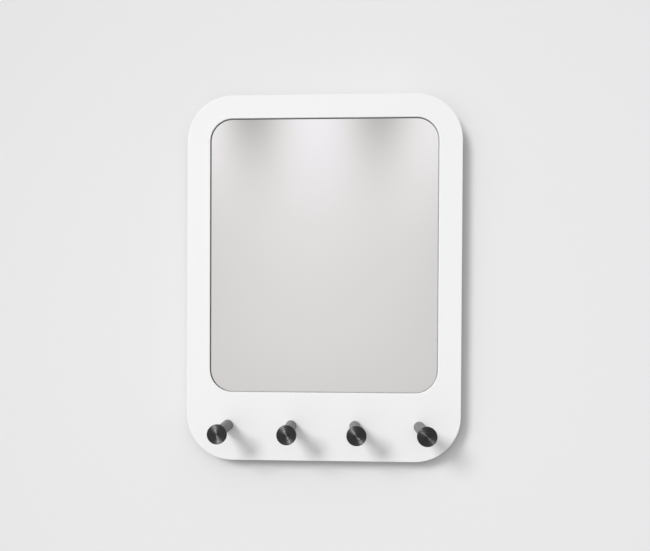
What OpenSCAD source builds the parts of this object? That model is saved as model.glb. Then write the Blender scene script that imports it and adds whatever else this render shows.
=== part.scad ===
// Wall mirror with a row of pegs.
// A lacquered board carries a mirror pane in a pocket of its face and a row of turned pegs below it.
// The part hangs on two screws by the keyhole plates in its back.
// Origin: on the board's back, midway between the two keyholes' entries. +Z is up and the mirror faces -Y.

/* [Board] */
// Width of the board
board_w = 300; // [280:1:420]
// Height of the board
board_h = 400; // [360:1:600]
// Thickness of the board
board_t = 18; // [17:0.5:28]
// Radius of the board's corners
board_corner_r = 50; // [30:1:60]
// Rounding of the board's front and back edges
board_edge_r = 0.6; // [0.5:0.1:4]

/* [Mirror] */
// Border beside and above the mirror
border_w = 25; // [15:1:40]
// Height of the band below the mirror, which carries the pegs
band_h = 75; // [65:1:110]
// Radius of the corners of the mirror's pocket
pocket_corner_r = 25; // [10:1:50]
// Chamfer on the rim of the pocket
pocket_chamfer = 0.3; // [0.1:0.1:1]
// Joint round the pane
pane_gap = 1; // [0.3:0.1:2]
// Depth of the glass below the board's face
pane_recess = 1.2; // [0:0.1:2]
// Thickness of the glass
glass_t = 3; // [2:0.5:4]
// Seam ground on the front edge of the glass
glass_seam = 0.2; // [0.1:0.1:1]
// Thickness of the safety film behind the glass
film_t = 0.2; // [0.1:0.05:0.5]
// Bare strip of glass left round the safety film
film_inset = 2; // [1:0.5:6]
// Thickness of the foam tape that holds the pane
tape_t = 0.8; // [0.5:0.1:2]
// Width of a strip of tape
tape_w = 20; // [10:1:30]
// Distance of the tape's ends from the pane's edges
tape_end_gap = 29; // [15:1:80]

/* [Pegs] */
// Distance of the end pegs from the board's sides
peg_inset = 45; // [35:1:70]
// Height of the pegs' axes above the board's bottom edge
peg_h = 38.5; // [25:0.5:45]
// Reach of a peg from the board's face to the end of its head
peg_l = 45; // [30:1:80]
// Diameter of a peg's stem
stem_d = 12; // [8:0.5:16]
// Diameter of a peg's head
head_d = 20; // [18:0.5:32]
// Thickness of a peg's head
head_t = 3; // [2:0.5:8]
// Rounding of the edges of a peg's head
head_edge_r = 0.5; // [0.2:0.1:0.9]

/* [Peg fastening] */
// Diameter of the thread that holds a peg
thread_d = 4; // [3:0.5:5]
// Length of the screw below its head
screw_l = 20; // [16:1:30]
// Diameter of the screw's head
screw_head_d = 8; // [7:0.5:9]
// Height of the screw's head
screw_head_t = 3.1; // [2:0.1:4]
// Outer diameter of the washer under the screw's head
washer_d = 9; // [9:0.5:12]
// Thickness of the washer
washer_t = 0.8; // [0.5:0.1:1.2]
// Thickness of board clamped between a peg and its washer
clamped_t = 11; // [6:0.5:11.5]

/* [Hanger plates] */
// Distance of the keyholes from the board's sides
keyhole_inset = 50; // [40:1:90]
// Distance of the keyholes' round entries below the board's top edge
keyhole_drop = 65; // [55:1:120]
// Width of a hanger plate
hanger_w = 16; // [14:0.5:24]
// Length of a hanger plate
hanger_l = 46; // [42:1:70]
// Thickness of a hanger plate
hanger_t = 2; // [1.8:0.1:3]
// Diameter of the keyhole's round entry
keyhole_d = 9; // [7:0.5:10]
// Width of the keyhole's slot
slot_w = 4.6; // [4:0.1:6]
// Distance from the entry's middle to the end of the slot's middle line
slot_travel = 9; // [7:0.5:11]
// Depth of the pocket behind the keyhole, for the head of the wall's screw
head_pocket_depth = 7; // [4:0.5:8]
// Distance between the two screws of a plate
plate_screw_pitch = 34; // [31:0.5:36]
// Diameter of a plate's screw
plate_screw_d = 3.5; // [3:0.1:4]
// Length of a plate's screw
plate_screw_l = 10; // [8:0.5:11]
// Diameter of the countersunk head of a plate's screw
plate_screw_head_d = 6.4; // [5.5:0.1:7]

/* [Wall pads] */
// Diameter of a felt pad
pad_d = 12; // [8:1:18]
// Thickness of a felt pad, which holds the board off the wall
pad_t = 2; // [1:0.5:5]
// Distance of the pads' middles from the board's edges
pad_inset = 25; // [22:1:26]

/* [Clearances] */
// Radial clearance of a screw in its thread
thread_clear = 0.05; // [0.02:0.01:0.1]
// Radial clearance of a screw in a plain hole
bolt_clear = 0.25; // [0.1:0.05:0.5]
// Radial clearance of the washer in its counterbore
counterbore_clear = 1; // [0.5:0.1:2]
// Clearance of a hanger plate in its recess
recess_clear = 0.2; // [0.1:0.05:0.5]
// Radial clearance round the head of the wall's screw in its pocket
pocket_clear = 1.5; // [1:0.1:2]
// Free depth past the tip of a screw
tip_clear = 1; // [0.5:0.1:2]

/* [Hidden] */
$fn = 96;
eps = 0.5;

peg_count = 4;
tape_count = 4;
sides = [-1, 1];

// Heights above the board's back
face_z = board_t;
glass_front_z = face_z - pane_recess;
glass_back_z = glass_front_z - glass_t;
film_back_z = glass_back_z - film_t;
pocket_floor_z = film_back_z - tape_t;
washer_seat_z = face_z - clamped_t;
screw_seat_z = washer_seat_z - washer_t;

// The board's middle, below the keyholes
board_y = keyhole_drop - board_h / 2;

// The mirror's pocket and pane
pocket_w = board_w - 2 * border_w;
pocket_h = board_h - border_w - band_h;
pocket_y = board_y + (band_h - border_w) / 2;
pane_w = pocket_w - 2 * pane_gap;
pane_h = pocket_h - 2 * pane_gap;
pane_corner_r = pocket_corner_r - pane_gap;
tape_pitch = pane_w / tape_count;
tape_l = pane_h - 2 * tape_end_gap;

// The pegs and their screws
peg_y = board_y - board_h / 2 + peg_h;
peg_pitch = (board_w - 2 * peg_inset) / (peg_count - 1);
thread_r = thread_d / 2;
screw_reach = screw_seat_z + screw_l - face_z;
counterbore_r = washer_d / 2 + counterbore_clear;

// The hanger plates: a keyhole's entry lies half its slot's travel below its plate's middle
keyhole_x = board_w / 2 - keyhole_inset;
plate_y = slot_travel / 2;
head_pocket_r = keyhole_d / 2 + pocket_clear;
plate_screw_r = plate_screw_d / 2;
plate_screw_head_r = plate_screw_head_d / 2;
// A 90 degree countersink is as deep as its radius falls
countersink_depth = plate_screw_head_r - plate_screw_r;

// Stands up a piece drawn flat, with x to the right, y up and z out of the board's face
module upright() {
    rotate([90, 0, 0]) children();
}

// Flat outline of an edge: reach from the corner's middle, thickness, and rounding of both rims
module rounded_edge(reach, t, edge_r) {
    square([reach - edge_r, t]);
    translate([0, edge_r]) square([reach, t - 2 * edge_r]);
    translate([reach - edge_r, edge_r]) circle(edge_r);
    translate([reach - edge_r, t - edge_r]) circle(edge_r);
}

// Plate with round corners: its edge outline, the child, runs round the whole plate
module corner_plate(w, h, t, corner_r) {
    straight_w = w - 2 * corner_r;
    straight_h = h - 2 * corner_r;
    if (straight_w > 0 && straight_h > 0)
        translate([-straight_w / 2, -straight_h / 2, 0]) cube([straight_w, straight_h, t]);
    for (turn = [0 : 3]) {
        x = (turn == 0 || turn == 3 ? 1 : -1) * straight_w / 2;
        y = (turn < 2 ? 1 : -1) * straight_h / 2;
        run = turn % 2 == 0 ? straight_h : straight_w;
        translate([x, y, 0]) rotate([0, 0, 90 * turn]) {
            rotate_extrude(angle = 90) children();
            if (run > 0) rotate([90, 0, 0]) linear_extrude(run) children();
        }
    }
}

// Plate with round corners and square edges
module plain_plate(w, h, t, corner_r) {
    corner_plate(w, h, t, corner_r) square([corner_r, t]);
}

// Slot with round ends, upwards from the keyhole's entry
module slot(r, t) {
    translate([-r, 0, 0]) cube([2 * r, slot_travel, t]);
    for (y = [0, slot_travel]) translate([0, y, 0]) cylinder(r = r, h = t);
}

// Cross recess, cut at z = 0 into a head that faces the wall
module cross_recess(span, depth) {
    arm = span / 4;
    for (turn = [0, 90])
        rotate([0, 0, turn]) translate([-span / 2, -arm / 2, -eps]) cube([span, arm, depth + eps]);
}

// Repeats its child at each peg
module at_pegs() {
    for (i = [1 : peg_count]) translate([peg_x(i), peg_y, 0]) children();
}

// Repeats its child at both keyholes' entries
module at_keyholes() {
    for (side = sides) translate([side * keyhole_x, 0, 0]) children();
}

// Repeats its child at both screws of a hanger plate, measured from its keyhole's entry
module at_plate_screws() {
    for (side = sides) translate([0, plate_y + side * plate_screw_pitch / 2, 0]) children();
}

function peg_x(i) = (i - (peg_count + 1) / 2) * peg_pitch;

// Pocket in the board's face, chamfered at its rim
module mirror_pocket() {
    depth = face_z - pocket_floor_z;
    r = pocket_corner_r;
    c = pocket_chamfer;
    translate([0, pocket_y, pocket_floor_z])
        corner_plate(pocket_w, pocket_h, depth + eps, r)
            polygon([[0, 0], [r, 0], [r, depth - c], [r + c, depth], [r + c, depth + eps], [0, depth + eps]]);
}

// Stepped hole for a peg's screw and washer
module peg_hole() {
    cylinder(r = thread_r + bolt_clear, h = face_z + 2 * eps);
    cylinder(r = counterbore_r, h = washer_seat_z + eps);
}

// Recess for a hanger plate, with the pocket for the wall screw's head and two screw holes
module hanger_recess() {
    c = recess_clear;
    translate([0, plate_y, -eps])
        plain_plate(hanger_w + 2 * c, hanger_l + 2 * c, hanger_t + eps, hanger_w / 2 + c);
    slot(head_pocket_r, hanger_t + head_pocket_depth);
    at_plate_screws() cylinder(r = plate_screw_r + thread_clear, h = plate_screw_l + tip_clear);
}

module board() {
    color("white") upright() difference() {
        translate([0, board_y, 0])
            corner_plate(board_w, board_h, board_t, board_corner_r)
                rounded_edge(board_corner_r, board_t, board_edge_r);
        mirror_pocket();
        at_pegs() translate([0, 0, -eps]) peg_hole();
        at_keyholes() hanger_recess();
    }
}

module mirror_glass() {
    r = pane_corner_r;
    s = glass_seam;
    color("lightsteelblue") upright() translate([0, pocket_y, glass_back_z])
        corner_plate(pane_w, pane_h, glass_t, r)
            polygon([[0, 0], [r, 0], [r, glass_t - s], [r - s, glass_t], [0, glass_t]]);
}

module safety_film() {
    color("gray") upright() translate([0, pocket_y, film_back_z])
        plain_plate(pane_w - 2 * film_inset, pane_h - 2 * film_inset, film_t, pane_corner_r - film_inset);
}

module mounting_tape() {
    first_x = -(tape_count - 1) / 2 * tape_pitch;
    color("gainsboro") upright()
        for (i = [0 : tape_count - 1])
            translate([first_x + i * tape_pitch - tape_w / 2, pocket_y - tape_l / 2, pocket_floor_z])
                cube([tape_w, tape_l, tape_t]);
}

// One-piece turned peg with a threaded hole in its foot; i counts from the left
module peg(i) {
    color("dimgray") upright() translate([peg_x(i), peg_y, face_z]) difference() {
        rotate_extrude() {
            square([stem_d / 2, peg_l - head_t / 2]);
            translate([0, peg_l - head_t]) rounded_edge(head_d / 2, head_t, head_edge_r);
        }
        translate([0, 0, -eps]) cylinder(r = thread_r + thread_clear, h = screw_reach + tip_clear + eps);
    }
}

// Pan-head screws, each with its head towards the wall
module peg_screws() {
    head_r = screw_head_d / 2;
    bevel = screw_head_t / 3;
    point = thread_r / 4;
    color("silver") upright() at_pegs() translate([0, 0, screw_seat_z]) difference() {
        rotate_extrude() polygon([
            [0, -screw_head_t], [head_r - bevel, -screw_head_t], [head_r, bevel - screw_head_t], [head_r, 0],
            [thread_r, 0], [thread_r, screw_l - point], [thread_r - point, screw_l], [0, screw_l]
        ]);
        translate([0, 0, -screw_head_t]) cross_recess(head_r, screw_head_t / 2);
    }
}

module peg_washers() {
    color("silver") upright() at_pegs() translate([0, 0, screw_seat_z]) difference() {
        cylinder(r = washer_d / 2, h = washer_t);
        translate([0, 0, -eps]) cylinder(r = thread_r + bolt_clear, h = washer_t + 2 * eps);
    }
}

// Keyhole plate: the entry is below and the slot runs up, so the part drops onto the wall's screws
module hanger(side) {
    hole_r = plate_screw_r + thread_clear;
    sink_r = plate_screw_head_r + thread_clear;
    color("silver") upright() translate([side * keyhole_x, 0, 0]) difference() {
        translate([0, plate_y, 0]) plain_plate(hanger_w, hanger_l, hanger_t, hanger_w / 2);
        translate([0, 0, -eps]) {
            cylinder(r = keyhole_d / 2, h = hanger_t + 2 * eps);
            slot(slot_w / 2, hanger_t + 2 * eps);
        }
        at_plate_screws() {
            translate([0, 0, -eps]) cylinder(r = hole_r, h = hanger_t + 2 * eps);
            cylinder(r1 = sink_r, r2 = hole_r, h = countersink_depth);
        }
    }
}

// Countersunk screws that hold the hanger plates
module hanger_screws() {
    point = 2 * plate_screw_r;
    color("silver") upright() at_keyholes() at_plate_screws() difference() {
        rotate_extrude() polygon([
            [0, 0], [plate_screw_head_r, 0], [plate_screw_r, countersink_depth],
            [plate_screw_r, plate_screw_l - point], [0, plate_screw_l]
        ]);
        cross_recess(plate_screw_head_r, countersink_depth * 2 / 3);
    }
}

module wall_pads() {
    color("darkgray") upright()
        for (x = sides, y = sides)
            translate([x * (board_w / 2 - pad_inset), board_y + y * (board_h / 2 - pad_inset), -pad_t])
                cylinder(d = pad_d, h = pad_t);
}

board();
mirror_glass();
safety_film();
mounting_tape();
peg(1);  // peg_1
peg(2);  // peg_2
peg(3);  // peg_3
peg(4);  // peg_4
peg_screws();
peg_washers();
hanger(-1);  // hanger_left
hanger(1);  // hanger_right
hanger_screws();
wall_pads();
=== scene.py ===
import bmesh
import bpy
from mathutils import Matrix, Vector
from math import cos, radians, sin, tau


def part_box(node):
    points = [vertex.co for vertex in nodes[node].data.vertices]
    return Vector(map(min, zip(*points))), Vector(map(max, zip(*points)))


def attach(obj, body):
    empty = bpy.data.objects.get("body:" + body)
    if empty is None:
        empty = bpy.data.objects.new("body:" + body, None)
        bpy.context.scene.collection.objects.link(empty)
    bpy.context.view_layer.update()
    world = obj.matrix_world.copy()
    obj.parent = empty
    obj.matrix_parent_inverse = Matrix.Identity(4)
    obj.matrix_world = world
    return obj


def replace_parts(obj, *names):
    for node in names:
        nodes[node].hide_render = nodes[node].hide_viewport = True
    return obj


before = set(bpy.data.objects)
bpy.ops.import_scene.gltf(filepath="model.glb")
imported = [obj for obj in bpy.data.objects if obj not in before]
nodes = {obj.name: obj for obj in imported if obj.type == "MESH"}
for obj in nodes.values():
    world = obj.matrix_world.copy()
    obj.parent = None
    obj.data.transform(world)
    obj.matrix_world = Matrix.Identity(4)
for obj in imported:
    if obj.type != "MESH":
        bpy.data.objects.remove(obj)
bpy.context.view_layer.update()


# ---- Board ----
# One panel of medium-density fibreboard, cut with large round corners and routed for the mirror.
# Its face and edges are sprayed in satin white lacquer. Its back and the pocket are only primed,
# and the holes and recesses that are cut from behind show the raw brown board. The primer in the
# pocket is also painted shade, which darkens the joint round the glass.


class Signal:
    """What one shader socket gives. Sums and products of signals add Math nodes."""

    def __init__(self, finish, socket):
        self.finish = finish
        self.socket = socket

    def math(self, operation, *others):
        return self.finish.node("Math", {"operation": operation}, dict(enumerate((self, *others))))

    def __add__(self, other):
        return self.math("ADD", other)

    def __sub__(self, other):
        return self.math("SUBTRACT", other)

    def __rsub__(self, other):
        return self * -1 + other

    def __mul__(self, other):
        return self.math("MULTIPLY", other)

    def __truediv__(self, other):
        return self.math("DIVIDE", other)

    def size(self):
        """The number without its sign."""
        return self.math("ABSOLUTE")

    __radd__ = __add__
    __rmul__ = __mul__

    def step(self, low, high):
        """Rises softly from 0 at low to 1 at high, and the other way round where low is larger."""
        settings = {"interpolation_type": "SMOOTHSTEP"}
        inputs = {"Value": self, "From Min": low, "From Max": high}
        return self.finish.node("MapRange", settings, inputs)


class Finish:
    """The nodes of a material, of a lamp or of the world."""

    def __init__(self, owner):
        owner.use_nodes = True
        self.owner = owner
        self.tree = owner.node_tree
        self.tree.nodes.clear()

    def node(self, kind, settings=None, inputs=None, output=0):
        made = self.tree.nodes.new("ShaderNode" + kind)
        for name, setting in (settings or {}).items():
            setattr(made, name, setting)
        for name, given in (inputs or {}).items():
            if isinstance(given, Signal):
                self.tree.links.new(given.socket, made.inputs[name])
            else:
                made.inputs[name].default_value = given
        return Signal(self, made.outputs[output]) if made.outputs else None

    def place(self, **mapping):
        """Object coordinates, moved or stretched by a Mapping node where that is asked for."""
        coordinates = self.node("TexCoord", output="Object")
        if not mapping:
            return coordinates
        settings = {"vector_type": "POINT"}
        inputs = {name.capitalize(): value for name, value in mapping.items()}
        return self.node("Mapping", settings, {"Vector": coordinates, **inputs})

    def axes(self, vector):
        parts = self.node("SeparateXYZ", inputs={"Vector": vector})
        sockets = parts.socket.node.outputs
        return [Signal(self, socket) for socket in sockets]

    def noise(self, place, size, detail=2.0, roughness=0.5):
        """Noise with patches of about that size, in metres."""
        inputs = {"Vector": place, "Scale": 1 / size, "Detail": detail, "Roughness": roughness}
        return self.node("TexNoise", inputs=inputs)

    def past_outline(self, place, low, high, corner):
        """Distance outwards from the outline of a plate with round corners, seen from the front."""
        across, _, height = self.axes(place)
        middle = (low + high) / 2
        half = (high - low) / 2
        sideways = (across - middle.x).size() - (half.x - corner)
        upwards = (height - middle.z).size() - (half.z - corner)
        x = sideways.math("MAXIMUM", 0)
        z = upwards.math("MAXIMUM", 0)
        inside = sideways.math("MAXIMUM", upwards).math("MINIMUM", 0)
        return (x * x + z * z).math("SQRT") + inside - corner

    def blend(self, factor, first, second):
        """Colour that goes from the first at 0 to the second at 1."""
        return self.node("Mix", {"data_type": "RGBA"}, {0: factor, 6: first, 7: second}, output=2)

    def bump(self, height, depth, under=None):
        inputs = {"Height": height, "Distance": depth, "Strength": 1.0}
        if under:
            inputs["Normal"] = under
        return self.node("Bump", inputs=inputs)

    def principled(self, **inputs):
        named = {name.replace("_", " ").title(): given for name, given in inputs.items()}
        if "Ior" in named:
            named["IOR"] = named.pop("Ior")
        return self.node("BsdfPrincipled", inputs=named)

    def close(self, shader):
        self.node("OutputMaterial", inputs={"Surface": shader})
        return self.owner

    def surface(self, **inputs):
        """A principled shader on the material's output."""
        return self.close(self.principled(**inputs))


def grey(level, warmth=0.0):
    """Near-neutral linear colour: warmth adds red and takes blue."""
    return (level * (1 + warmth), level, level * (1 - warmth), 1.0)


def middle_of(name):
    low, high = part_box(name)
    return (low + high) / 2


PANE_CORNER = 0.024


def white_lacquer():
    finish = Finish(bpy.data.materials.new("white_lacquer"))
    place = finish.place()
    across, depth, height = finish.axes(place)

    # The panel was drilled and routed from behind after it was sprayed, so the brown shows there
    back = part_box("board")[1].y
    below_back = depth.step(back - 0.0001, back - 0.0002)
    plate_low, plate_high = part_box("hanger_right")
    plate = middle_of("hanger_right")
    reach = (plate_high - plate_low) / 2 + Vector((0.0004, 0.0004, 0.0004))
    beside_plate = (across.size() - plate.x).size().step(reach.x + 0.0001, reach.x)
    along_plate = (height - plate.z).size().step(reach.z + 0.0001, reach.z)
    third_peg, fourth_peg = middle_of("peg_3"), middle_of("peg_4")
    half_pitch = (fourth_peg.x - third_peg.x) / 2
    beside_peg = ((across.size() - 2 * half_pitch).size() - half_pitch).size()
    above_peg = height - third_peg.z
    from_peg_axis = (beside_peg * beside_peg + above_peg * above_peg).math("SQRT")
    counterbore = 0.0057
    in_counterbore = from_peg_axis.step(counterbore + 0.0001, counterbore)
    raw = below_back * (beside_plate * along_plate).math("MAXIMUM", in_counterbore)
    behind = depth.step(back - 0.0012, back - 0.0003)

    clouds = finish.noise(place, size=0.11)
    coat = finish.blend(clouds, grey(0.91, -0.003), grey(0.925, 0.001))
    mottle = finish.noise(place, size=0.02, detail=5)
    primer_and_pocket_shade = finish.blend(mottle, grey(0.76, 0.006), grey(0.82, 0.004))
    fibres = finish.noise(place, size=0.0009, detail=4, roughness=0.7)
    fibreboard = finish.blend(fibres.step(0.35, 0.65), (0.33, 0.22, 0.13, 1), (0.52, 0.39, 0.26, 1))
    glass_low, glass_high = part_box("mirror_glass")
    from_pane = finish.past_outline(place, glass_low, glass_high, PANE_CORNER)
    # Painted shade: the pocket's walls take the greyer primer from just below the face, which
    # darkens the joint round the glass
    over_pocket = from_pane.step(0.0016, 0.0014)
    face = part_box("board")[0].y
    in_pocket = over_pocket * depth.step(face + 0.0002, face + 0.0006)
    sprayed = finish.blend(behind.math("MAXIMUM", in_pocket), coat, primer_and_pocket_shade)
    colour = finish.blend(raw, sprayed, fibreboard)

    peel = finish.noise(place, size=0.0022, detail=1)
    stipple = finish.noise(place, size=0.0007, detail=3)
    smooth = finish.bump(peel, 0.000012)
    rolled = finish.bump(stipple * behind, 0.00006, under=smooth)
    normal = finish.bump(fibres * raw, 0.0002, under=rolled)

    smudges = finish.noise(place, size=0.045, detail=3)
    satin = 0.61 + 0.08 * smudges
    roughness = satin + behind * 0.25 + raw * 0.3
    return finish.surface(base_color=colour, roughness=roughness, normal=normal, ior=1.5)


nodes["board"].data.materials[0] = white_lacquer()


# ---- Mirror pane ----
# Float glass, cut to fit the pocket with a small joint all round and silvered. Its front arris is
# bevelled and polished. Its cut edges are left as ground, so they are dull and show the green.
# Foam tape holds it in the pocket.


def silvered_glass():
    finish = Finish(bpy.data.materials.new("silvered_glass"))
    place = finish.place()
    across, depth, height = finish.axes(place)
    arris = 0.0002
    low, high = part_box("mirror_glass")
    front = low.y
    polished = depth.step(front + arris + 0.00002, front + arris - 0.00002)
    rim_width = 0.0025
    rim = finish.past_outline(place, low, high, PANE_CORNER).step(-rim_width, 0.0001 - rim_width)
    middle = middle_of("mirror_glass")
    far_side = (across - middle.x) / (high.x - low.x) - (height - middle.z) / (high.z - low.z)
    lets_light_in = rim * far_side.step(-0.05, 0.05)

    grinding = finish.noise(place, size=0.0006, detail=3)
    edge = finish.blend(grinding, (0.06, 0.085, 0.075, 1), (0.10, 0.13, 0.118, 1))
    colour = finish.blend(polished, edge, (0.89, 0.875, 0.862, 1))
    wiped = finish.noise(place, size=0.07, detail=4)
    clean = 0.012 + 0.02 * wiped.step(0.45, 0.75)
    roughness = polished * clean + (1 - polished) * 0.5
    normal = finish.bump(grinding * (1 - polished), 0.00005)
    look = {"base_color": colour, "metallic": polished, "roughness": roughness, "normal": normal}
    pane = finish.principled(**look, ior=1.52)

    # The lamp shines in through the pane's rim on the far side and lights the joint there
    shadow_ray = finish.node("LightPath", output="Is Shadow Ray")
    through = finish.node("BsdfTransparent")
    lit_rim = finish.node("MixShader", inputs={0: lets_light_in, 1: pane, 2: through})
    return finish.close(finish.node("MixShader", inputs={0: shadow_ray, 1: pane, 2: lit_rim}))


nodes["mirror_glass"].data.materials[0] = silvered_glass()


# ---- Safety film ----
# Thin plastic film stuck over the silvered back of the pane, which holds the glass if it breaks.
# It is smoothed on by hand, so it keeps a few faint wrinkles.

film = Finish(bpy.data.materials.new("safety_film"))
film_place = film.place()
wrinkles = film.noise(film.place(scale=(9.0, 1.0, 60.0)), size=1.0, detail=3)
thickness = film.noise(film_place, size=0.03, detail=2)
film_colour = film.blend(thickness, (0.39, 0.42, 0.45, 1), (0.45, 0.47, 0.49, 1))
film.surface(
    base_color=film_colour,
    roughness=0.3 + 0.15 * thickness,
    normal=film.bump(wrinkles.step(0.55, 0.7), 0.00005),
    coat_weight=0.4,
)
nodes["safety_film"].data.materials[0] = film.owner


# ---- Mounting tape ----
# Four strips of white closed-cell foam with adhesive on both faces, pressed flat between the film
# and the floor of the pocket. The pores show on their cut edges.

tape = Finish(bpy.data.materials.new("foam_tape"))
tape_place = tape.place()
pores = tape.node("TexVoronoi", inputs={"Vector": tape_place, "Scale": 2600.0}, output="Distance")
aged = tape.noise(tape_place, size=0.025, detail=3)
foam_colour = tape.blend(aged, (0.80, 0.79, 0.75, 1), (0.88, 0.88, 0.86, 1))
# The pores are coloured darker in their middles, a painted shade in the open cells
foam_colour = tape.blend(pores.step(0.3, 0.05) * 0.4, foam_colour, (0.62, 0.61, 0.57, 1))
foam_normal = tape.bump(pores, 0.0001)
tape.surface(base_color=foam_colour, roughness=0.75 + 0.15 * aged, normal=foam_normal)
nodes["mounting_tape"].data.materials[0] = tape.owner


# ---- Pegs ----
# Each peg is turned from one bar, with a flat wider head, and dyed near black when it is anodised.
# A screw from behind draws its foot up against the board. The tool has left fine rings on its end
# face, which spread a lamp's reflection into two bright sectors.


def turned_metal(name, axis_x, axis_z):
    finish = Finish(bpy.data.materials.new(name))
    place = finish.place(location=(-axis_x, 0, -axis_z))
    across, depth, height = finish.axes(place)
    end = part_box(name)[0].y
    on_face = depth.step(end + 0.00012, end + 0.00004)

    flat = finish.node("CombineXYZ", inputs={"X": across, "Y": 0.0, "Z": height})
    radius = finish.node("VectorMath", {"operation": "LENGTH"}, {0: flat}, output="Value")
    outward = finish.node("VectorMath", {"operation": "NORMALIZE"}, {0: flat})

    def rings(distance, pitch):
        settings = {"noise_dimensions": "1D"}
        inputs = {"W": distance, "Scale": 1 / pitch, "Detail": 1.0, "Roughness": 0.5}
        return finish.node("TexNoise", settings, inputs)

    face_lean = (rings(radius, 0.00009).step(0.44, 0.56) - 0.5) * on_face * 0.98
    stem_lean = (rings(depth, 0.0003) - 0.5) * (1 - on_face) * 0.5
    face_tilt = finish.node("VectorMath", {"operation": "SCALE"}, {0: outward, "Scale": face_lean})
    stem_tilt = finish.node("CombineXYZ", inputs={"X": 0.0, "Y": stem_lean, "Z": 0.0})
    tilt = finish.node("VectorMath", {"operation": "ADD"}, {0: face_tilt, 1: stem_tilt})
    true_normal = finish.node("NewGeometry", output="Normal")
    leaning = finish.node("VectorMath", {"operation": "ADD"}, {0: true_normal, 1: tilt})
    normal = finish.node("VectorMath", {"operation": "NORMALIZE"}, {0: leaning})

    dye = finish.noise(place, size=0.004, detail=3)
    stem = finish.blend(dye, grey(0.172, -0.01), grey(0.208, -0.02))
    tracks = finish.blend(rings(radius, 0.0011), grey(0.055, -0.01), grey(0.08, -0.01))
    rim = on_face.math("MAXIMUM", radius.step(0.0090, 0.0098))
    # The head's side and the round of its front edge are coloured darker than its face: a painted
    # shade for the dark ring round the head
    colour = finish.blend(rim, stem, finish.blend(on_face, grey(0.035), tracks))
    metallic = 0.4 + 0.6 * rim
    roughness = 0.30 + 0.05 * dye + (1 - rim) * 0.25
    look = {"base_color": colour, "metallic": metallic, "roughness": roughness, "normal": normal}
    return finish.surface(**look)


peg_axes = {name: middle_of(name) for name in ("peg_1", "peg_2", "peg_3", "peg_4")}
for name, axis in peg_axes.items():
    nodes[name].data.materials[0] = turned_metal(name, axis.x, axis.z)


# ---- Peg screws ----
# A pan-head M4 machine screw for each peg, driven from behind with a cross-tip driver. They are
# cold formed and rolled from steel wire, so their edges are soft, and then zinc plated.


def only_verts(parts):
    """The corners among what an operator gives back."""
    return [part for part in parts if isinstance(part, bmesh.types.BMVert)]


def new_piece(name, shape, material):
    """Makes a modelled shape a piece that rides on the board."""
    bmesh.ops.recalc_face_normals(shape, faces=shape.faces)
    mesh = bpy.data.meshes.new(name)
    shape.to_mesh(mesh)
    shape.free()
    mesh.shade_smooth()
    mesh.set_sharp_from_angle(angle=radians(32))
    mesh.materials.append(material)
    piece = bpy.data.objects.new(name, mesh)
    bpy.context.scene.collection.objects.link(piece)
    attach(piece, "root")
    return piece


def screw(profile, core, crest, pitch, thread_from, thread_to):
    """Screw on the origin, head to the wall. Its profile is (radius, depth) from the head's top."""
    shape = bmesh.new()

    def put(section):
        return [bmesh.ops.create_vert(shape, co=(r, -depth, 0))["vert"][0] for r, depth in section]

    points = put(profile)
    edges = [shape.edges.new(pair) for pair in zip(points, points[1:])]
    round_once = {"cent": (0, 0, 0), "axis": (0, 1, 0), "angle": tau, "use_merge": True}
    bmesh.ops.spin(shape, geom=points + edges, steps=48, **round_once)
    bmesh.ops.remove_doubles(shape, verts=shape.verts, dist=0.00001)

    # Cross recess, cut between four planes and sunk with a taper
    flat = profile[1][0]
    arm = flat * 0.22
    reach = flat * 0.8
    taper = Vector((0.6, 1, 0.6))
    sinking = Vector((0, -flat * 0.62, 0))
    below_top = -0.00005
    for side in (-1, 1):
        for normal in (Vector((1, 0, 0)), Vector((0, 0, 1))):
            level = [face for face in shape.faces if abs(face.normal.y) > 0.99]
            top = [face for face in level if face.calc_center_median().y > below_top]
            borders = dict.fromkeys(edge for face in top for edge in face.edges)
            corners = dict.fromkeys(vert for face in top for vert in face.verts)
            cut = {"plane_co": normal * arm * side, "plane_no": normal}
            bmesh.ops.bisect_plane(shape, geom=[*top, *borders, *corners], dist=0.000002, **cut)
    cross = []
    for face in shape.faces:
        middle = face.calc_center_median()
        near_side, far_side = sorted((abs(middle.x), abs(middle.z)))
        if middle.y > below_top and near_side < arm and far_side < reach:
            cross.append(face)
    sunk = only_verts(bmesh.ops.extrude_face_region(shape, geom=cross)["geom"])
    bmesh.ops.delete(shape, geom=[face for face in cross if face.is_valid], context="FACES_ONLY")
    bmesh.ops.scale(shape, verts=sunk, vec=taper)
    bmesh.ops.translate(shape, verts=sunk, vec=sinking)

    # Rolled thread, one rib wound along the core
    steps_per_turn = 14
    turns = (thread_to - thread_from - pitch) / pitch
    foot = core * 0.97
    upper, tip, lower = (thread_from + pitch * share for share in (0, 0.42, 0.84))
    rib = put([(foot, upper), (crest, tip), (foot, lower)])
    start = bmesh.ops.contextual_create(shape, geom=rib)["faces"]
    winding = {"cent": (0, 0, 0), "axis": (0, -1, 0), "dvec": (0, -pitch / steps_per_turn, 0)}
    all_steps = round(steps_per_turn * turns)
    bmesh.ops.spin(shape, geom=start, angle=tau * turns, steps=all_steps, **winding)
    return shape


def spread(shape, places):
    """Repeats the shape at each place."""
    first_verts = shape.verts[:]
    first = first_verts + shape.edges[:] + shape.faces[:]
    for place in places[1:]:
        copied = only_verts(bmesh.ops.duplicate(shape, geom=first)["geom"])
        bmesh.ops.translate(shape, verts=copied, vec=place)
    bmesh.ops.translate(shape, verts=first_verts, vec=places[0])


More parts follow.
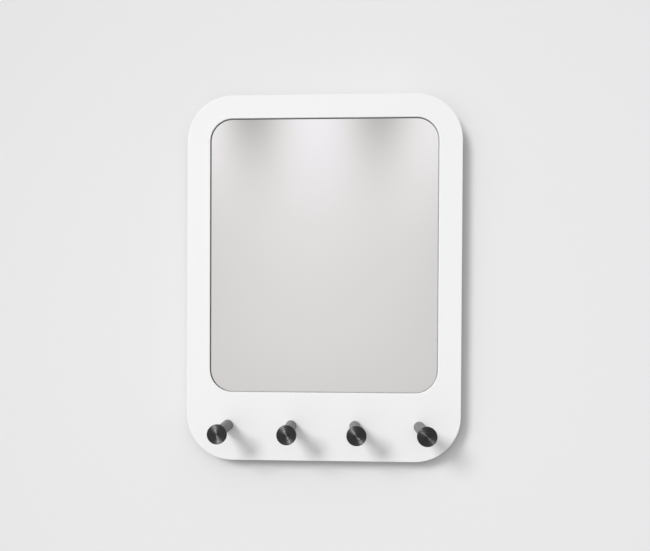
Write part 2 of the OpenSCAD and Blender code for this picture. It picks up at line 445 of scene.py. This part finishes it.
def zinc_plate(name, grain):
    """Bright zinc over steel. A smaller number in its grain draws the marks out along that axis."""
    finish = Finish(bpy.data.materials.new(name))
    place = finish.place()
    clouds = finish.noise(place, size=0.006, detail=3)
    marks = finish.noise(finish.place(scale=grain), size=0.0006, detail=3, roughness=0.6)
    bright = finish.blend(clouds, (0.66, 0.68, 0.70, 1), (0.75, 0.75, 0.73, 1))
    colour = finish.blend(marks.step(0.56, 0.72) * 0.35, bright, (0.47, 0.48, 0.50, 1))
    roughness = 0.24 + 0.14 * clouds + 0.1 * marks
    normal = finish.bump(marks, 0.00002)
    return finish.surface(base_color=colour, metallic=1.0, roughness=roughness, normal=normal)


MM = 0.001
pan_crown = [(0, 0), (2.5, 0), (3.1, 0.18), (3.65, 0.6), (3.93, 1.2), (4.0, 1.9)]
pan_underside = [(3.97, 3.0), (3.8, 3.1)]
pan_shank = [(1.62, 3.1), (1.62, 22.5), (1.1, 23.1), (0, 23.1)]
pan_profile = [(r * MM, depth * MM) for r, depth in pan_crown + pan_underside + pan_shank]
pan_thread = {"core": 1.62 * MM, "crest": 2.0 * MM, "pitch": 0.7 * MM}
pan = screw(pan_profile, **pan_thread, thread_from=3.3 * MM, thread_to=22.9 * MM)
pan_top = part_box("peg_screws")[1].y
spread(pan, [Vector((axis.x, pan_top, axis.z)) for axis in peg_axes.values()])
bright_zinc = zinc_plate("zinc_on_screws", (1.0, 1.0, 1.0))
screws = new_piece("pan_head_screws", pan, bright_zinc)
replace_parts(screws, "peg_screws")


# ---- Peg washers ----
# A stamped and zinc plated M4 washer under each head spreads its pull on the floor of the
# counterbore. Its edges are a little rounded.

washer_low, washer_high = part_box("peg_washers")
hole_radius, washer_radius = 0.00225, 0.0045
washers = bmesh.new()
bmesh.ops.create_circle(washers, segments=64, radius=hole_radius)
bmesh.ops.create_circle(washers, segments=64, radius=washer_radius)
bmesh.ops.bridge_loops(washers, edges=washers.edges)


def thicken(shape, move):
    """Pulls a flat shape out into a solid, and gives the corners that moved."""
    moved = only_verts(bmesh.ops.extrude_face_region(shape, geom=shape.faces)["geom"])
    bmesh.ops.translate(shape, verts=moved, vec=move)
    return moved


def sharp_edges(shape, angle):
    """Edges where the surface turns by more than the angle, in radians."""
    return [edge for edge in shape.edges if edge.is_manifold and edge.calc_face_angle() > angle]


thicken(washers, (0, 0, washer_high.y - washer_low.y))
soft_rim = {"affect": "EDGES", "profile": 0.5, "material": -1, "clamp_overlap": True}
bmesh.ops.bevel(washers, geom=sharp_edges(washers, 1), offset=0.00015, segments=2, **soft_rim)
to_wall = Matrix.Rotation(radians(-90), 3, "X")
bmesh.ops.rotate(washers, verts=washers.verts, matrix=to_wall)
spread(washers, [Vector((axis.x, washer_low.y, axis.z)) for axis in peg_axes.values()])
stamped_zinc = zinc_plate("zinc_on_washers", (0.3, 1.0, 1.0))
washer_piece = new_piece("washers", washers, stamped_zinc)
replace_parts(washer_piece, "peg_washers")


# ---- Hanger plates ----
# Two keyhole plates stamped from 2 mm steel strip, zinc plated, and let in flush in the board's
# back. A wall screw's head goes in the round entry, and its shank runs up the slot as the board
# drops.


def keyhole_plate(entry, thickness):
    """Plate round its keyhole's entry: its wall face lies in the plane of the board's back."""
    shape = bmesh.new()

    def arcs(*rows):
        ends = []
        for height, radius, start, sweep in rows:
            middle = entry + Vector((0, 0, height))
            first = middle + radius * Vector((cos(start), 0, sin(start)))
            vert = bmesh.ops.create_vert(shape, co=first)["vert"]
            turn = {"cent": middle, "axis": (0, -1, 0), "angle": sweep, "steps": 36}
            spun = bmesh.ops.spin(shape, geom=vert, **turn)["geom_last"]
            ends.append((vert[0], only_verts(spun)[0]))
        for i, (_, last) in enumerate(ends):
            shape.edges.new((last, ends[(i + 1) % len(ends)][0]))

    # The outline, then the keyhole. Its mouth is half the angle that the slot takes out of the
    # round entry
    half = tau / 2
    mouth = 0.5366
    entry_start, entry_sweep = half / 2 + mouth, 2 * half - 2 * mouth
    upper_end, lower_end, slot_end = 0.0195, -0.0105, 0.009
    end_radius, slot_radius, entry_radius = 0.008, 0.0023, 0.0045
    arcs((upper_end, end_radius, 0, half), (lower_end, end_radius, half, half))
    arcs((slot_end, slot_radius, 0, half), (0, entry_radius, entry_start, entry_sweep))
    sinks = [entry + Vector((0, 0, height)) for height in (-0.0125, 0.0215)]
    sink_radius = 0.00325
    for sink in sinks:
        flat = Matrix.Translation(sink) @ Matrix.Rotation(radians(90), 4, "X")
        bmesh.ops.create_circle(shape, segments=48, radius=sink_radius, matrix=flat)
    bmesh.ops.triangle_fill(shape, use_beauty=True, use_dissolve=False, edges=shape.edges)
    thicken(shape, (0, -thickness, 0))

    # Countersinks: a cone, then a plain hole below it
    everything = shape.verts[:] + shape.edges[:] + shape.faces[:]
    cone_end = entry + Vector((0, -0.00145, 0))
    cut = {"plane_co": cone_end, "plane_no": (0, 1, 0)}
    bmesh.ops.bisect_plane(shape, geom=everything, dist=0.000001, **cut)
    deep = [vert for vert in shape.verts if vert.co.y < cone_end.y + 0.00001]
    narrowing = Vector((0.554, 1, 0.554))
    for sink in sinks:
        around = [vert for vert in deep if (vert.co - sink).xz.length < sink_radius + 0.00015]
        bmesh.ops.scale(shape, verts=around, vec=narrowing, space=Matrix.Translation(-sink))
    bmesh.ops.recalc_face_normals(shape, faces=shape.faces)
    bmesh.ops.bevel(shape, geom=sharp_edges(shape, 0.75), offset=0.0002, segments=2, **soft_rim)
    return shape


rolled_zinc = zinc_plate("zinc_on_plates", (1.0, 1.0, 0.12))
for name in ("hanger_left", "hanger_right"):
    low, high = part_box(name)
    plate = keyhole_plate(Vector(((low.x + high.x) / 2, high.y, 0)), high.y - low.y)
    plate_name = name.replace("hanger", "keyhole_plate")
    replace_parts(new_piece(plate_name, plate, rolled_zinc), name)


# ---- Hanger screws ----
# Two countersunk wood screws in each plate, of zinc plated steel, with a cross recess. They have
# a coarse thread on a core that narrows to a point, and draw the plate down into its recess.

flat_head = [(0, 0), (2.4, 0), (3.1, 0), (3.2, 0.12), (1.75, 1.5)]
flat_shank = [(1.2, 2.2), (1.2, 6.5), (0.7, 8.6), (0, 10.0)]
flat_profile = [(r * MM, depth * MM) for r, depth in flat_head + flat_shank]
flat_thread = {"core": 1.2 * MM, "crest": 1.72 * MM, "pitch": 1.3 * MM}
flat_screw = screw(flat_profile, **flat_thread, thread_from=2.0 * MM, thread_to=7.2 * MM)
plates = [middle_of(name) for name in ("hanger_left", "hanger_right")]
from_middle = (-0.017, 0.017)
spread(flat_screw, [Vector((at.x, 0, at.z + z)) for at in plates for z in from_middle])
flat_piece = new_piece("countersunk_screws", flat_screw, bright_zinc)
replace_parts(flat_piece, "hanger_screws")


# ---- Wall pads ----
# Four discs of grey pressed felt with adhesive backs. They hold the board a little off the wall,
# so that it doesn't rattle or mark it. Their cut rims are soft.

pad_low, pad_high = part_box("wall_pads")
pad_radius = 0.006
felt_pads = bmesh.new()
bmesh.ops.create_circle(felt_pads, cap_ends=True, segments=64, radius=pad_radius)
outer = thicken(felt_pads, (0, 0, pad_high.y - pad_low.y))
outer_rim = [edge for edge in felt_pads.edges if all(vert in outer for vert in edge.verts)]
bmesh.ops.bevel(felt_pads, geom=outer_rim, offset=0.0006, segments=4, **soft_rim)
bmesh.ops.rotate(felt_pads, verts=felt_pads.verts, matrix=to_wall)
pad_xs = (pad_low.x + pad_radius, pad_high.x - pad_radius)
pad_zs = (pad_low.z + pad_radius, pad_high.z - pad_radius)
spread(felt_pads, [Vector((x, pad_low.y, z)) for x in pad_xs for z in pad_zs])

felt = Finish(bpy.data.materials.new("felt"))
felt_place = felt.place()
fibres = felt.noise(felt.place(scale=(1.0, 0.4, 1.0)), size=0.0005, detail=6, roughness=0.75)
tufts = felt.noise(felt_place, size=0.0022, detail=4)
felt_colour = felt.blend(fibres.step(0.35, 0.68), grey(0.22, 0.01), grey(0.43, -0.01))
felt_colour = felt.blend(tufts.step(0.5, 0.75) * 0.5, felt_colour, grey(0.36, 0.02))
loose = felt.bump(fibres, 0.0004, under=felt.bump(tufts, 0.0003))
felt.surface(base_color=felt_colour, roughness=0.93 + 0.06 * fibres, normal=loose)
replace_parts(new_piece("felt_pads", felt_pads, felt.owner), "wall_pads")


# ---- Wall ----
# Matt wall that the felt pads touch, which takes the board's shadow, with painted shade added close
# round the board. It is seen only from the front and fades into the background further out. Behind
# the board it lets the light through, so that the back can be looked at.

board_low, board_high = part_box("board")
board_middle = middle_of("board")
board_corner = 0.05
wall_middle = Vector((board_middle.x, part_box("wall_pads")[1].y, board_middle.z))
upright = Matrix.Translation(wall_middle) @ Matrix.Rotation(radians(90), 4, "X")
shape = bmesh.new()
bmesh.ops.create_circle(shape, cap_ends=True, segments=64, radius=1.5, matrix=upright)
wall_mesh = bpy.data.meshes.new("wall")
shape.to_mesh(wall_mesh)
shape.free()
wall = bpy.data.objects.new("wall", wall_mesh)
bpy.context.scene.collection.objects.link(wall)

paint = Finish(bpy.data.materials.new("wall_paint"))
wall_place = paint.place()
across, _, height = paint.axes(wall_place)
from_board = paint.past_outline(wall_place, board_low, board_high, board_corner)
lee = Vector((0.0035, 0, -0.005))
from_lee = paint.past_outline(wall_place, board_low + lee, board_high + lee, board_corner)


def near(distance, reach):
    """1 at an outline, fading outwards."""
    return (distance.math("MAXIMUM", 0) * (-1 / reach)).math("EXPONENT")


# Painted shade: the paint is darker close to the board, most of all in its lee, away from the lamp.
# On the lamp's side the board's edge throws light on the wall, and painted shade takes a little of
# that back; on the far side the same term adds a little painted light further out.
toward_lamp = (board_middle.x - across) / 0.15 + (height - board_middle.z) / 0.4
painted_shade = near(from_board, 0.009) * 0.24 + near(from_lee, 0.004) * 0.3
painted_shade = painted_shade + near(from_board, 0.03) * toward_lamp * 0.042
open_wall = 0.853
matt = paint.node("BsdfDiffuse", inputs={"Color": open_wall - painted_shade})
clear = paint.node("BsdfTransparent")
from_behind = paint.node("NewGeometry", output="Backfacing")
camera_ray = paint.node("LightPath", output="Is Camera Ray")
behind_board = from_board.step(0.0031, 0.003) * (1 - camera_ray)
faded = from_board.step(0.3, 0.75)
unseen = from_behind.math("MAXIMUM", behind_board.math("MAXIMUM", faded))
shown = paint.node("MixShader", inputs={0: unseen, 1: matt, 2: clear})
paint.node("OutputMaterial", inputs={"Surface": shown})
wall.data.materials.append(paint.owner)


# ---- Light ----
# One round softbox, high on the left, gives the shadows. The studio round it fills them, and is
# what the mirror and the metal show: pale in front, with two soft gaps between its upper lights.
# A weak light from behind shows the back.

softbox = bpy.data.lights.new("softbox", "AREA")
softbox.shape = "DISK"
softbox.size = 0.54
softbox.energy = 6.1
even = Finish(softbox)
strength = even.node("LightFalloff", inputs={"Strength": 1.0}, output="Constant")
even.node("OutputLight", inputs={"Surface": even.node("Emission", inputs={"Strength": strength})})
softbox_lamp = bpy.data.objects.new("softbox", softbox)
bpy.context.scene.collection.objects.link(softbox_lamp)
softbox_lamp.location = board_middle + Vector((-0.80, -1.259, 0.60))

# It points past the board, so that the near side gets no more light than the far side
past_board = Vector((3.4, 1.0, -2.8))
softbox_lamp.rotation_euler = past_board.to_track_quat("-Z", "Y").to_euler()

back_light = bpy.data.lights.new("back_light", "SUN")
back_light.energy = 1.2
back_light.angle = radians(20)
back_lamp = bpy.data.objects.new("back_light", back_light)
bpy.context.scene.collection.objects.link(back_lamp)
from_behind_wall = Vector((-0.5, -1.0, -0.4))
back_lamp.rotation_euler = from_behind_wall.to_track_quat("-Z", "Y").to_euler()

studio = Finish(bpy.data.worlds.new("studio"))
bpy.context.scene.world = studio.owner
direction = studio.node("TexCoord", output="Generated")
right, away, up = studio.axes(direction)


def glow(middle, width):
    """Soft round spot round a direction, given as (right, up) with its half widths."""
    x = (right - middle[0]) / width[0]
    z = (up - middle[1]) / width[1]
    return (0 - (x * x + z * z)).math("EXPONENT")


# In front, where the mirror looks
middle_light = glow((-0.065, 0.727), (0.386, 0.66)) * 0.581
left_light = glow((-0.254, 0.636), (0.037, 0.216)) * 0.421
right_light = glow((0.191, 0.58), (0.106, 0.331)) * 0.185
lights = middle_light + left_light + right_light
gaps = glow((-0.173, 0.523), (0.061, 0.149)) + glow((0.082, 0.53), (0.063, 0.153))
front = 0.629 - up.step(-0.101, 0.312) * 0.116 + lights - gaps * 0.661

# To the sides, where the rims of the metal look: dimmer, with a bright spot round the softbox
lamp_side = up * 0.6 - right * 0.8
softbox_spot = glow((-0.6, 0.6), (0.16, 0.16)) * 13
beside = 0.42 + lamp_side * 0.14 + softbox_spot
facing = away.step(-0.75, -0.85) * up.step(0.56, 0.44)
reflected = front * facing + beside * (1 - facing)

# What lights the shadows leans to the softbox's side, and what the camera sees is even
fill = 0.6 + lamp_side * 0.42
backdrop = 0.82
camera_ray = studio.node("LightPath", output="Is Camera Ray")
glossy_ray = studio.node("LightPath", output="Is Glossy Ray")
level = fill + glossy_ray * (reflected - fill) + camera_ray * (backdrop - fill)

# The brightest of the upper lights are a little cooler than the rest
cool = studio.blend(front.step(0.82, 0.94) * glossy_ray, grey(1.0), (1.005, 1.0, 1.037, 1))
colour = studio.node("VectorMath", {"operation": "SCALE"}, {0: cool, "Scale": level})
background = studio.node("Background", inputs={"Color": colour, "Strength": 1.0})
studio.node("OutputWorld", inputs={"Surface": background})


# ---- Camera ----
# Where the photograph was taken from: a little right of the middle and below it, and nearly level.
# The picture is shifted up rather than the camera tilted, so that upright edges stay upright.

PICTURE_WIDTH = 650
FOCAL_LENGTH = 447.4
HORIZON_BELOW_MIDDLE = 57.26

camera_data = bpy.data.cameras.new("camera")
camera_data.sensor_width = 36
camera_data.lens = camera_data.sensor_width * FOCAL_LENGTH / PICTURE_WIDTH
camera_data.shift_y = HORIZON_BELOW_MIDDLE / PICTURE_WIDTH
camera_data.clip_start = 0.01
camera = bpy.data.objects.new("camera", camera_data)
bpy.context.scene.collection.objects.link(camera)
turn_left, look_down, lean_right = radians(1.713), radians(0.542), radians(0.267)
turned = Matrix.Rotation(turn_left, 4, "Z") @ Matrix.Rotation(radians(90) - look_down, 4, "X")
leaning = turned @ Matrix.Rotation(lean_right, 4, "Z")
camera_place = Vector((0.01654, -0.50673, -0.18967))
camera.matrix_world = Matrix.Translation(camera_place) @ leaning
bpy.context.scene.camera = camera
bpy.context.scene.view_settings.view_transform = "Standard"
